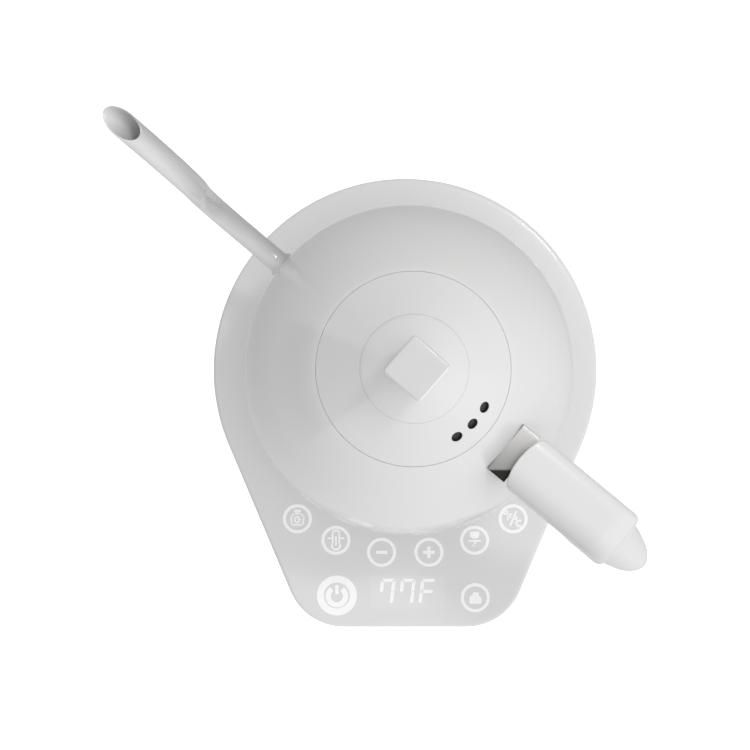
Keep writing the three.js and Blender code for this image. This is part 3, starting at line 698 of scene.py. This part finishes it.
def glyph_kettle():
    pot = [(-3, -3), (3, -3), (3.3, -0.4), (1.6, 1.2), (1.8, 3), (0.6, 2.2), (-0.6, 3.2), (-1.4, 1.6),
           (-2.9, 0.6)]
    return [rounded(pot, 0.7, 3)]


def glyph_power():
    return [arc_band(0, -0.3, 3, 5.6, -235, 55, 44), bar(0, 0.6, 0, 5.2, 1.7, False)]


def touch_icons():
    """Six ringed signs on an arc, one at the right of the display and a wider one at its left."""
    ring, wide_ring = arc_band(0, 0, 5.65, 7.2, steps=72), arc_band(0, 0, 6.4, 9.9, steps=72)
    arc_keys = [glyph_timer, glyph_thermometer, glyph_minus, glyph_plus, glyph_dripper, glyph_units]
    front, arc_radius, steps = 270, 90.7, (-36, -22.2, -7.4, 7.4, 22.2, 36)
    for glyph, step in zip(arc_keys, steps):
        a = (front + step) * DEGREE
        name = glyph.__name__.replace("glyph", "icon")
        printed(name, at([ring] + glyph(), arc_radius * math.cos(a), arc_radius * math.sin(a)))
    printed("icon_kettle", at([ring] + glyph_kettle(), 34.6, -112.4))
    printed("icon_power", at([wide_ring] + glyph_power(), -33.8, -111.3))


def display():
    """The lit reading behind the cover: slanted seven-segment digits on a slightly paler window."""
    lower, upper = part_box("display_module")
    x, y = centre("display_module").xy
    half_x, half_y = (upper - lower).xy / MM / 2
    corners = ((-1, -1), (1, -1), (1, 1), (-1, 1))
    window = [(x + half_x * across, y + half_y * up) for across, up in corners]
    printed("display_window", [rounded(window, 1.2)], "display_tint", BASE_TOP + 0.01, 0.04)
    wide, tall, stroke, slant, first_left, spacing, foot = 5.6, 11, 1.7, 0.12, -13.6, 9.9, -5.2
    half = tall / 2
    segments = {
        "top": (0.5, tall, wide - 0.5, tall), "upper_left": (0, half + 0.6, 0, tall - 0.7),
        "upper_right": (wide, half + 0.6, wide, tall - 0.7), "lower_right": (wide, 0.6, wide, half - 0.6),
        "lower_left": (0, 0.6, 0, half - 0.6), "middle": (0.6, half, wide - 0.8, half),
    }
    seven = ("top", "upper_left", "upper_right", "lower_right")
    scale_mark = ("top", "upper_left", "lower_left", "middle")
    outlines = []
    for place, lit in enumerate((seven, seven, scale_mark)):
        left = x + first_left + place * spacing
        for name in lit:
            outline = bar(*segments[name], stroke)
            outlines.append([(px + left + py * slant, py + y + foot) for px, py in outline])
    printed("display_digits", outlines, height=BASE_TOP + 0.07)


# ---- kettle ----
def body_line(steps=28):
    """The kettle's outside from the skirt's joint up to the lid seam."""
    wall = bezier([(72, low("kettle_body")), (73.6, 50), (WIDEST_RADIUS, WIDEST_HEIGHT)], 12)
    neck = 20
    dome = bezier([
        (WIDEST_RADIUS, WIDEST_HEIGHT), (WIDEST_RADIUS, WIDEST_HEIGHT + 35),
        (SEAM_RADIUS + neck * math.cos(SEAM_SLOPE), SEAM_HEIGHT - neck * math.sin(SEAM_SLOPE)),
        (SEAM_RADIUS + 0.14, SEAM_HEIGHT),
    ], steps)
    return wall + dome[1:]


BODY_LINE = body_line()


def reach_at(line, height):
    """How far out a rising line of (out, height) points is at a height."""
    for (r0, z0), (r1, z1) in zip(line, line[1:]):
        if z0 <= height <= z1:
            return r0 + (r1 - r0) * (height - z0) / (z1 - z0)
    return line[0][0] if height < line[0][1] else line[-1][0]


def kettle_body():
    """A steel vessel with its floor, a ledge and collar for the lid, and a hole into the spout."""
    floor, collar, collar_foot, foot_edge = 52, 34.6, 141, 0.3
    inside = [(r, z) for r, z in beside(BODY_LINE, SHEET) if floor + 6 < z < LEDGE - 2 * SHEET]
    rim = rounded([BODY_LINE[-2], BODY_LINE[-1], (SEAM_RADIUS + 0.14, LEDGE), (collar, LEDGE),
                   (collar, collar_foot), (collar + SHEET, collar_foot), (collar + SHEET, LEDGE - SHEET),
                   inside[-1]], 0.45, 3)[4:-4]
    foot_r, foot_z = BODY_LINE[0]
    water_floor, wall_r = floor + SHEET, foot_r - SHEET
    floor_corner = bezier([(foot_r - 8, water_floor), (wall_r, water_floor), (wall_r, floor + 7)], 6)
    profile = [(0, water_floor), *floor_corner, *inside, *reversed(rim), *reversed(BODY_LINE[1:-1]),
               (foot_r, foot_z + foot_edge), (foot_r - foot_edge, foot_z), (wall_r, foot_z),
               (wall_r, floor), (0, floor)]
    shape = turned(profile, 180)
    body = piece("kettle_body_enamel", shape, "kettle", "enamel", ["kettle_body"])
    carve(body, [spout_hole()], KETTLE_TURN)


def spout_hole():
    """A cylinder that starts inside the kettle and points along the spout's root."""
    (u0, z0), (u1, z1) = SPOUT_LINE[:2]
    along = Vector((u0 - u1, 0, z1 - z0)).normalized()
    back = 9
    start = Matrix.Translation((-u0 + back * -along.x, 0, z0 - back * along.z))
    return drill(5.1, 0, 16, 40, start @ along.to_track_quat("Z", "Y").to_matrix().to_4x4())


def kettle_skirt():
    foot, top = low("kettle_skirt"), BODY_LINE[0][1] - 0.3
    plate, hole, collar_top = foot + 1.2, 24.8, high("kettle_skirt")
    upper = plate + 2.2
    section = [(hole, plate), (66, plate), (67, foot), (70.2, foot), (71.5, foot + 2), (72, top), (70, top),
               (69.4, upper), (hole + 2, upper), (hole + 2, collar_top), (hole, collar_top)]
    shape = turned(rounded(section, 0.5), 160)
    skirt = piece("kettle_skirt_moulded", shape, "kettle", "white_plastic", ["kettle_skirt"])
    places = screw_places("skirt_screw").values()
    carve(skirt, [drill_up(3.1, plate - 2, plate + 1.3, 24, p.x, p.y) for p in places])


# ---- spout ----
def smooth_path(points, steps=16):
    """A centripetal Catmull-Rom line through points in a plane."""
    pts = [Vector(p) for p in points]
    pts = [2 * pts[0] - pts[1], *pts, 2 * pts[-1] - pts[-2]]
    line = []
    for p0, p1, p2, p3 in zip(pts, pts[1:], pts[2:], pts[3:]):
        t1 = math.sqrt((p1 - p0).length)
        t2 = t1 + math.sqrt((p2 - p1).length)
        t3 = t2 + math.sqrt((p3 - p2).length)
        for k in range(steps):
            t = t1 + (t2 - t1) * k / steps
            a = p0.lerp(p1, t / t1)
            b = p1.lerp(p2, (t - t1) / (t2 - t1))
            c = p2.lerp(p3, (t - t2) / (t3 - t2))
            near, far = a.lerp(b, t / t2), b.lerp(c, (t - t1) / (t3 - t1))
            line.append(near.lerp(far, (t - t1) / (t2 - t1)))
    return line + [pts[-2]]


def last_below(too_low, low_end, high_end):
    """Where a test that holds at the low end stops holding, found by halving: both sides of it."""
    for _ in range(40):
        middle = (low_end + high_end) / 2
        if too_low(middle):
            low_end = middle
        else:
            high_end = middle
    return low_end, high_end


class Path:
    """A line in the (outward, height) plane that can be read at any length along it."""

    def __init__(self, points):
        self.points = points
        self.lengths = [0.0]
        for a, b in zip(points, points[1:]):
            self.lengths.append(self.lengths[-1] + (b - a).length)

    def at(self, length):
        """The point and direction at a length along the line."""
        i = 0
        while i < len(self.points) - 2 and self.lengths[i + 1] < length:
            i += 1
        a, b = self.points[i], self.points[i + 1]
        share = (length - self.lengths[i]) / (self.lengths[i + 1] - self.lengths[i])
        before = self.points[max(i - 1, 0)]
        after = self.points[min(i + 2, len(self.points) - 1)]
        direction = (b - before).normalized().lerp((after - a).normalized(), share).normalized()
        return a.lerp(b, share), direction

    def on_tube(self, length, radius, angle):
        """A point on a round tube about the line; angle 0 is to the side and 90 degrees above."""
        middle, direction = self.at(length)
        out = middle + Vector((-direction.y, direction.x)) * radius * math.sin(angle)
        return Vector((-out.x, -radius * math.cos(angle), out.y))

    def where_height(self, height, radius, angle):
        """How far along the line that side of the tube first reaches a height, past its lower bends."""
        def is_below(length):
            return self.on_tube(length, radius, angle).z < height
        return sum(last_below(is_below, 0.6 * self.lengths[-1], self.lengths[-1])) / 2


def root_fillet(path, angle, reach=4, steps=7):
    """Points that flare from the tube's side out onto the kettle's wall."""
    middle, direction = path.at(0)
    side = Vector((0, -math.cos(angle), 0)) + Vector((direction.y, 0, direction.x)) * math.sin(angle)
    start = Vector((-middle.x, 0, middle.y))
    along = Vector((-direction.x, 0, direction.y))
    search, sunk = 12.0, 0.15

    def in_wall(depth):
        point = start + side * (SPOUT_RADIUS + reach) + along * depth
        return point.xy.length < reach_at(BODY_LINE, point.z) - sunk

    depth = last_below(in_wall, -search, search)[0]
    flare = quarter_round(reach, steps)
    return [start + side * (SPOUT_RADIUS + out) + along * (depth + up) for up, out in flare]


def spout():
    path, angles, lip = Path(smooth_path(SPOUT_LINE)), full_turn(40), 0.2
    steps, end_steps, fillet_end, straight = 120, 30, 9.0, 0.74 * path.lengths[-1]

    def along(radius, start):
        ends = [path.where_height(SPOUT_MOUTH - lip, radius, a) for a in angles]
        lengths = [start + (straight - start) * k / steps for k in range(steps)]
        rings = [[path.on_tube(length, radius, a) for a in angles] for length in lengths]
        for k in range(end_steps + 1):
            reach = [straight + (end - straight) * k / end_steps for end in ends]
            rings.append([path.on_tube(length, radius, a) for length, a in zip(reach, angles)])
        return rings

    def mouth(radius):
        return [path.on_tube(path.where_height(SPOUT_MOUTH, radius, a), radius, a) for a in angles]

    stub = [[path.on_tube(length, SPOUT_RADIUS, a) for a in angles] for length in (0, 0.8)]
    flare = [list(ring) for ring in zip(*[root_fillet(path, a) for a in angles])]
    rim = [mouth(SPOUT_RADIUS - 0.15), mouth(SPOUT_BORE + 0.15)]
    rings = stub + flare + along(SPOUT_RADIUS, fillet_end) + rim + along(SPOUT_BORE, 0)[::-1]
    # The spout's finish carries painted shade on one side.
    piece("spout_tube", skin(rings, closed=True), "kettle", "spout_enamel_painted_shade", ["spout"])


# ---- handle ----
def handle_stations():
    """(top, underside, squareness, share of the front's bulge) along the arm and down the leg."""
    down = (LEG_END - KNEE).normalized()
    inside = KNEE + Vector((down.y, -down.x)) * LEG_THICK
    top_start, under_start = KNEE.x - 14, inside.x - 10
    arm_square, knee_square, foot_square = 4.5, 8, 2.1
    arm_steps, bend_steps, leg_steps, foot_round = 16, 20, 32, 4.2
    stations = []
    for k in range(arm_steps + 1):
        s = k / arm_steps
        top = Vector((HANDLE_FRONT + (top_start - HANDLE_FRONT) * s, HANDLE_TOP))
        under = Vector((HANDLE_FRONT_FOOT + (under_start - HANDLE_FRONT_FOOT) * s, HANDLE_UNDER))
        stations.append((top, under, arm_square, 1 - s))
    bend_top = bezier([(top_start, HANDLE_TOP), (KNEE.x - 2, HANDLE_TOP), KNEE], bend_steps)
    bend_under = bezier([(under_start, HANDLE_UNDER), (inside.x - 3, HANDLE_UNDER), inside], bend_steps)
    for k in range(1, bend_steps + 1):
        square = arm_square + (knee_square - arm_square) * (k / bend_steps)
        stations.append((Vector(bend_top[k]), Vector(bend_under[k]), square, 0))
    length = (LEG_END - KNEE).length - foot_round
    for k in range(1, leg_steps + 1):
        s = k / leg_steps
        square = knee_square + (foot_square - knee_square) * min(1, s / 0.2) ** 0.5 - 0.5 * s * s
        stations.append((KNEE + down * length * s, inside + down * length * s, square, 0))
    return stations, down


def handle_ring(station, part, grow=0.0, along=Vector((0, 0)), around=52):
    """A station's outline, of the shell above the seam or the cover below it."""
    top, under, square, bulge_share = station
    middle, half_height = (top + under) / 2, (top - under).length / 2
    upward = (top - under).normalized()
    seam_low, seam_high = -half_height + COVER_THICK, -half_height + COVER_THICK + SEAM
    edge = seam_high if part == "shell" else seam_low
    edge_angle = -math.asin(min(1, (abs(edge) / half_height) ** (square / 2)))
    start, end = edge_angle, math.pi - edge_angle
    if part == "cover":
        start, end = -math.pi - edge_angle, edge_angle
    ring = []
    for k in range(around + 1):
        a = start + (end - start) * k / around
        c, s = math.cos(a), math.sin(a)
        v = (half_height + grow) * math.copysign(abs(s) ** (2 / square), s)
        v = max(v, seam_high) if part == "shell" else min(v, seam_low)
        point = middle + upward * v + along
        y = (reach_at(GRIP_SIDE, point.y) + grow) * math.copysign(abs(c) ** (2 / square), c)
        bulge = (HANDLE_BULGE - math.sqrt(HANDLE_BULGE ** 2 - y * y)) * (v / half_height + 1) / 2
        ring.append((point.x + bulge * bulge_share, y, point.y))
    return ring


def handle_half(part):
    """The shell or the cover, with a softened front edge and a rounded foot."""
    stations, down = handle_stations()
    front, foot, rings = 0.9, 3, []
    for shift, drawn_in in quarter_round(front, 4)[:-1]:
        rings.append(handle_ring(stations[0], part, -drawn_in, Vector((shift, 0))))
    rings += [handle_ring(station, part) for station in stations[1:]]
    for drawn_in, short in quarter_round(foot, 6, 1):
        rings.append(handle_ring(stations[-1], part, -drawn_in, down * (foot - short)))
    return skin(rings)


def handle():
    # The grip's finish carries painted shade on one side.
    piece("handle_grip", handle_half("shell"), "kettle", "grip_plastic_painted_shade", ["handle_shell"])
    half = handle_half("cover")
    cover = piece("handle_underside", half, "kettle", "white_plastic", ["handle_cover"])
    wells = [drill_up(3.4, HANDLE_UNDER - 3, HANDLE_UNDER + 1.9, 32, x) for x in (68, 76)]
    carve(cover, wells, KETTLE_TURN)


def handle_bracket():
    """A flat steel arm from the kettle's shoulder into the handle, with a straight inner edge."""
    foot, top = heights("handle_bracket")
    half, start, end = 11.45, 48.4, 56.8
    tongue_half, tongue_tall, tongue_lift, tongue_end = 8, 6, 1.5, 82
    lifted, crown, sunk, spacing = 1.8, 0.25, 0.5, 1.2
    outline = rounded([(-half, foot), (half, foot), (half, top), (-half, top)], 0.5, 3)
    dense = []
    for a, b in zip(outline, outline[1:] + outline[:1]):
        a, b = Vector(a), Vector(b)
        pieces = max(1, int((b - a).length / spacing))
        dense += [a.lerp(b, k / pieces) for k in range(pieces)]
    rings = []
    for share in (0, 0.02, 0.3, 0.65, 1):
        ring = []
        for y, z in dense:
            height = z + (lifted + crown * (1 - (y / half) ** 2)) * (z - foot) / (top - foot)
            wall = math.sqrt(reach_at(BODY_LINE, height) ** 2 - y * y) - sunk
            begin = max(start, wall)
            ring.append((begin + (end - begin) * share, y, height))
        rings.append(ring)
    tongue = [(y * tongue_half / half, foot + tongue_lift + (z - foot) * tongue_tall / (top - foot))
              for y, z in dense]
    rings += [[(x, y, z) for y, z in tongue] for x in (end, tongue_end)]
    shape = skin(rings)
    # The bracket's finish carries painted shade and a painted dark corner.
    piece("handle_bracket_plate", shape, "kettle", "bracket_steel_painted_shade", ["handle_bracket"])


# ---- lid ----
def lid_shell():
    """The lid's sloping skin, with three steam vents, each closed below by a dark cup that stands in for
    the shade inside the hole.
    """
    bore, seat_r = 2.6, CAP_RADIUS + 0.1
    line = bezier([(SEAM_RADIUS + 0.08, SEAM_HEIGHT + 0.1), (29.6, 161.9), (seat_r, CAP_HEIGHT)], 20)
    profile = [*line, (seat_r, CAP_SEAT), (bore, CAP_SEAT), (bore, CAP_SEAT - SHEET),
               *reversed(beside(line, SHEET)[1:-3])]
    shell = piece("lid_shell_enamel", turned(profile, 160), "lid", "enamel", ["lid_shell"])
    slope = Matrix.Rotation(SEAM_SLOPE, 4, "Y")
    outer, inner, foot, floor, top = VENT_RADIUS - 0.04, VENT_RADIUS - 0.2, -1.3, -1.1, -0.12
    # Painted shade: a dark closed cup in each vent stands in for the shade inside the hole.
    shade_cup = [(0, foot), (outer, foot), (outer, top), (inner, top), (inner, floor), (0, floor)]
    holes = []
    for k, step in enumerate((-14.5, 0, 14.5), 1):
        place = Matrix.Rotation(step * DEGREE, 4, "Z") @ Matrix.Translation((31, 0, 160.5)) @ slope
        holes.append(drill(VENT_RADIUS, -4, 4, 40, place))
        shape = placed(turned(shade_cup, 40), place)
        piece(f"steam_vent_{k}", shape, "lid", "black_plastic")
    carve(shell, holes, LID_TURN)


def lid_cap():
    foot, top, bore, side = CAP_SEAT + 0.3, high("lid_cap"), 2.6, CAP_RADIUS + 0.05
    slope = bezier([(CAP_RADIUS - 0.15, CAP_HEIGHT + 0.3), (15, 173.4), (10, 176.2), (7.5, top)], 14)
    profile = [(bore, foot), (side, foot), (side, CAP_HEIGHT + 0.05), *slope, (bore, top)]
    piece("lid_cap_moulded", turned(profile, 128), "lid", "white_plastic", ["lid_cap"])


def square_ring(half, corner, height, steps=6):
    ring = []
    for quarter in range(4):
        cx = (half - corner) * (1 if quarter in (0, 3) else -1)
        cy = (half - corner) * (1 if quarter in (0, 1) else -1)
        for k in range(steps + 1):
            a = (quarter + k / steps) * math.pi / 2
            ring.append((cx + corner * math.cos(a), cy + corner * math.sin(a), height))
    return ring


def lid_knob():
    foot, top = heights("lid_knob")
    half, slope, edge, corner, sharpest, own_turn = 8.9, 0.2, 1.0, 1.6, 0.35, 2 * DEGREE

    def scaled(drop, height):
        share = 1 - slope * (top - height) / (top - foot)
        return square_ring(half * share - drop, max(sharpest, corner * share - drop), height)

    rings = [[(0, 0, foot)], scaled(0.5, foot), scaled(0.15, foot + 0.15), scaled(0, foot + 0.5)]
    rings += [scaled(0, foot + (top - edge - foot) * k / 5) for k in range(1, 6)]
    rings += [scaled(drawn_in, top - short) for drawn_in, short in quarter_round(edge, 5, 1)]
    rings += [[(x / 2, y / 2, top) for x, y, _ in rings[-1]], [(0, 0, top)]]
    shape = skin(rings, caps=False)
    # The knob's finish is darkened and carries a painted highlight on its edges.
    piece("lid_knob_moulded", shape, "lid", "knob_plastic", ["lid_knob"], LID_TURN + own_turn)


def lid_liner():
    """A steel cup that hangs from the ledge into the neck, with six steam holes in its floor."""
    foot, top = heights("lid_liner")
    wall, lip, flange, seat = 31.8, 33.6, 37, LEDGE + 0.3
    section = [(lip, foot), (lip, foot + 1.8), (wall, foot + 1.8), (wall, seat), (flange, seat),
               (flange, top), (wall - SHEET, top), (wall - SHEET, foot + SHEET)]
    shape = turned([(0, foot), *rounded(section, 0.5, 3), (0, foot + SHEET)], 120)
    liner = piece("lid_liner_cup", shape, "lid", "brushed_steel", ["lid_liner"])
    out = 20
    holes = [(out * math.cos(k * 60 * DEGREE), out * math.sin(k * 60 * DEGREE)) for k in range(6)]
    carve(liner, [drill(2.3, 0, 3, 32, Matrix.Translation((x, y, foot - 1))) for x, y in holes], LID_TURN)


def lid_seal():
    foot, top = heights("lid_seal")
    inner, root, lip = 32.1, 33.2, 34.3
    section = [(inner, foot), (root, foot), (lip, foot + 2), (lip, foot + 3.4), (root, foot + 5),
               (root, foot + 5.6), (lip - 0.2, foot + 6.8), (root, foot + 8), (root, top), (inner, top)]
    shape = turned(rounded(section, 0.35, 3), 120)
    piece("lid_seal_ring", shape, "lid_seal", "silicone", ["lid_seal"])


# ---- CAD nodes that are shown as they are ----
def dress_kept_nodes():
    """Gives every CAD node the finish that its record asks for."""
    slots = {part["node"]: part["material_slot"] for part in frame["record"]["subparts"]}
    for name, node in frame["nodes"].items():
        chosen = FINISH.get(slots.get(name), FINISH["grey_plastic"])
        for slot in node.material_slots:
            slot.material = chosen
        if not node.material_slots:
            node.data.materials.append(chosen)


# ---- stage ----
FLOOR_REACH = 6.0
SKY_RANGE = (0.67, 0.97)
GROUND_RANGE = (0.72, 1.02)
DARK_PANEL = 0.4
BRIGHT_PANEL = 0.18


def pale_ground():
    """An almost even white that glows a little, for the floor and the backdrop."""
    material, tree, surface = new_material("pale_ground")
    tree.links.new(ramp(tree, noise(tree, 3), 0, 1, 0.93, 0.95), surface.inputs["Base Color"])
    set_inputs(surface, {"Roughness": 0.9, "Specular IOR Level": 0.1})
    set_inputs(surface, {"Emission Color": WHITE, "Emission Strength": 0.8})
    return material


def stage_mesh(name, rings, material):
    """Part of the stage: seen by the camera, but not in reflections or in bounced light."""
    mesh = bpy.data.meshes.new(name)
    verts, faces = skin(rings, caps=False)
    mesh.from_pydata(verts, [], faces)
    mesh.materials.append(material)
    obj = add_object(name, mesh)
    obj.visible_diffuse = False
    obj.visible_glossy = False
    return obj


def floor_and_backdrop():
    material, steps, around = pale_ground(), 24, 64
    rings = [circle(FLOOR_REACH * k / steps, -0.0004, around) for k in range(steps + 1)]
    stage_mesh("floor", rings, material)
    angles = [k / steps * math.pi / 2 for k in range(steps + 1)]
    rings = [circle(FLOOR_REACH * math.cos(a), FLOOR_REACH * math.sin(a) - 0.001, around) for a in angles]
    backdrop = stage_mesh("backdrop", rings, material)
    backdrop.visible_shadow = False
    backdrop.visible_transmission = False


def area_light(name, place, target, size, power):
    light = bpy.data.lights.new(name, "AREA")
    light.shape = "RECTANGLE"
    light.size = size
    light.size_y = size
    light.energy = power
    obj = add_object(name, light)
    obj.location = AXIS + Vector(place)
    direction = Vector(target) - Vector(place)
    obj.rotation_euler = direction.to_track_quat("-Z", "Y").to_euler()


def toward(azimuth, elevation=0):
    """The direction at an azimuth, counted from +X, and an elevation, in degrees."""
    a, e = azimuth * DEGREE, elevation * DEGREE
    return Vector((math.cos(a) * math.cos(e), math.sin(a) * math.cos(e), math.sin(e)))


def world():
    """Soft light from all round: brightest from the lower right, with a dark and a bright panel."""
    sky = bpy.data.worlds.new("studio")
    sky.use_nodes = True
    tree = sky.node_tree
    place = tree.nodes.new("ShaderNodeTexCoord").outputs["Generated"]

    def facing(direction, start, end, low_value, high_value):
        """A value that goes from one to another as a direction comes nearer."""
        nearness = share_along(tree, place, direction)
        return ramp(tree, nearness, start, end, low_value, high_value, smooth=True)

    def combine(operation, a, b):
        node = tree.nodes.new("ShaderNodeMath")
        node.operation = operation
        tree.links.new(a, node.inputs[0])
        tree.links.new(b, node.inputs[1])
        return node.outputs[0]

    def between(start, end):
        """One between two azimuths, fading to nothing just outside them."""
        after = facing(toward(start + 90), -0.03, 0.03, 0, 1)
        before = facing(toward(end - 90), -0.03, 0.03, 0, 1)
        return combine("MULTIPLY", after, before)

    up = toward(0, 90)
    light = facing(toward(-60, 22), -0.95, 1, *SKY_RANGE)
    horizon = facing(up, -0.03, 0.05, 0, 1)
    tree.links.new(facing(toward(-60), -0.6, 0.8, *GROUND_RANGE), horizon.node.inputs["To Min"])
    light = combine("MULTIPLY", light, horizon)
    dark = combine("MULTIPLY", between(157, 215), facing(up, 0.55, 0.85, DARK_PANEL, 0))
    light = combine("SUBTRACT", light, combine("MULTIPLY", dark, facing(up, -0.5, -0.1, 0, 1)))
    panel = combine("MULTIPLY", between(-47, -4), facing(up, 0.02, 0.08, 0, BRIGHT_PANEL))
    light = combine("ADD", light, combine("MULTIPLY", panel, facing(up, 0.34, 0.4, 1, 0)))
    tree.links.new(light, tree.nodes["Background"].inputs["Color"])
    bpy.context.scene.world = sky


def stage():
    floor_and_backdrop()
    world()
    area_light("soft_right", (0.9, -0.7, 1.1), (0, 0, 0.05), 0.9, 0.5)
    area_light("key", (0.32, 0.3, 1.0), (0, 0, 0.17), 0.12, 1.5)
    bpy.context.scene.view_settings.view_transform = "Standard"


# ---- everything ----
def screws():
    for prefix, body in (("base_screw", "base"), ("skirt_screw", "kettle"), ("handle_screw", "kettle")):
        for name in screw_places(prefix):
            screw_piece(name, body)
    screw_piece("knob_screw", "lid")


def build():
    base_top_cover()
    base_bottom_cover()
    feet()
    cord_gland()
    connector()
    connector_socket()
    touch_icons()
    display()
    kettle_body()
    kettle_skirt()
    spout()
    handle()
    handle_bracket()
    lid_shell()
    lid_cap()
    lid_knob()
    lid_liner()
    lid_seal()
    screws()
    dress_kept_nodes()
    stage()


build()
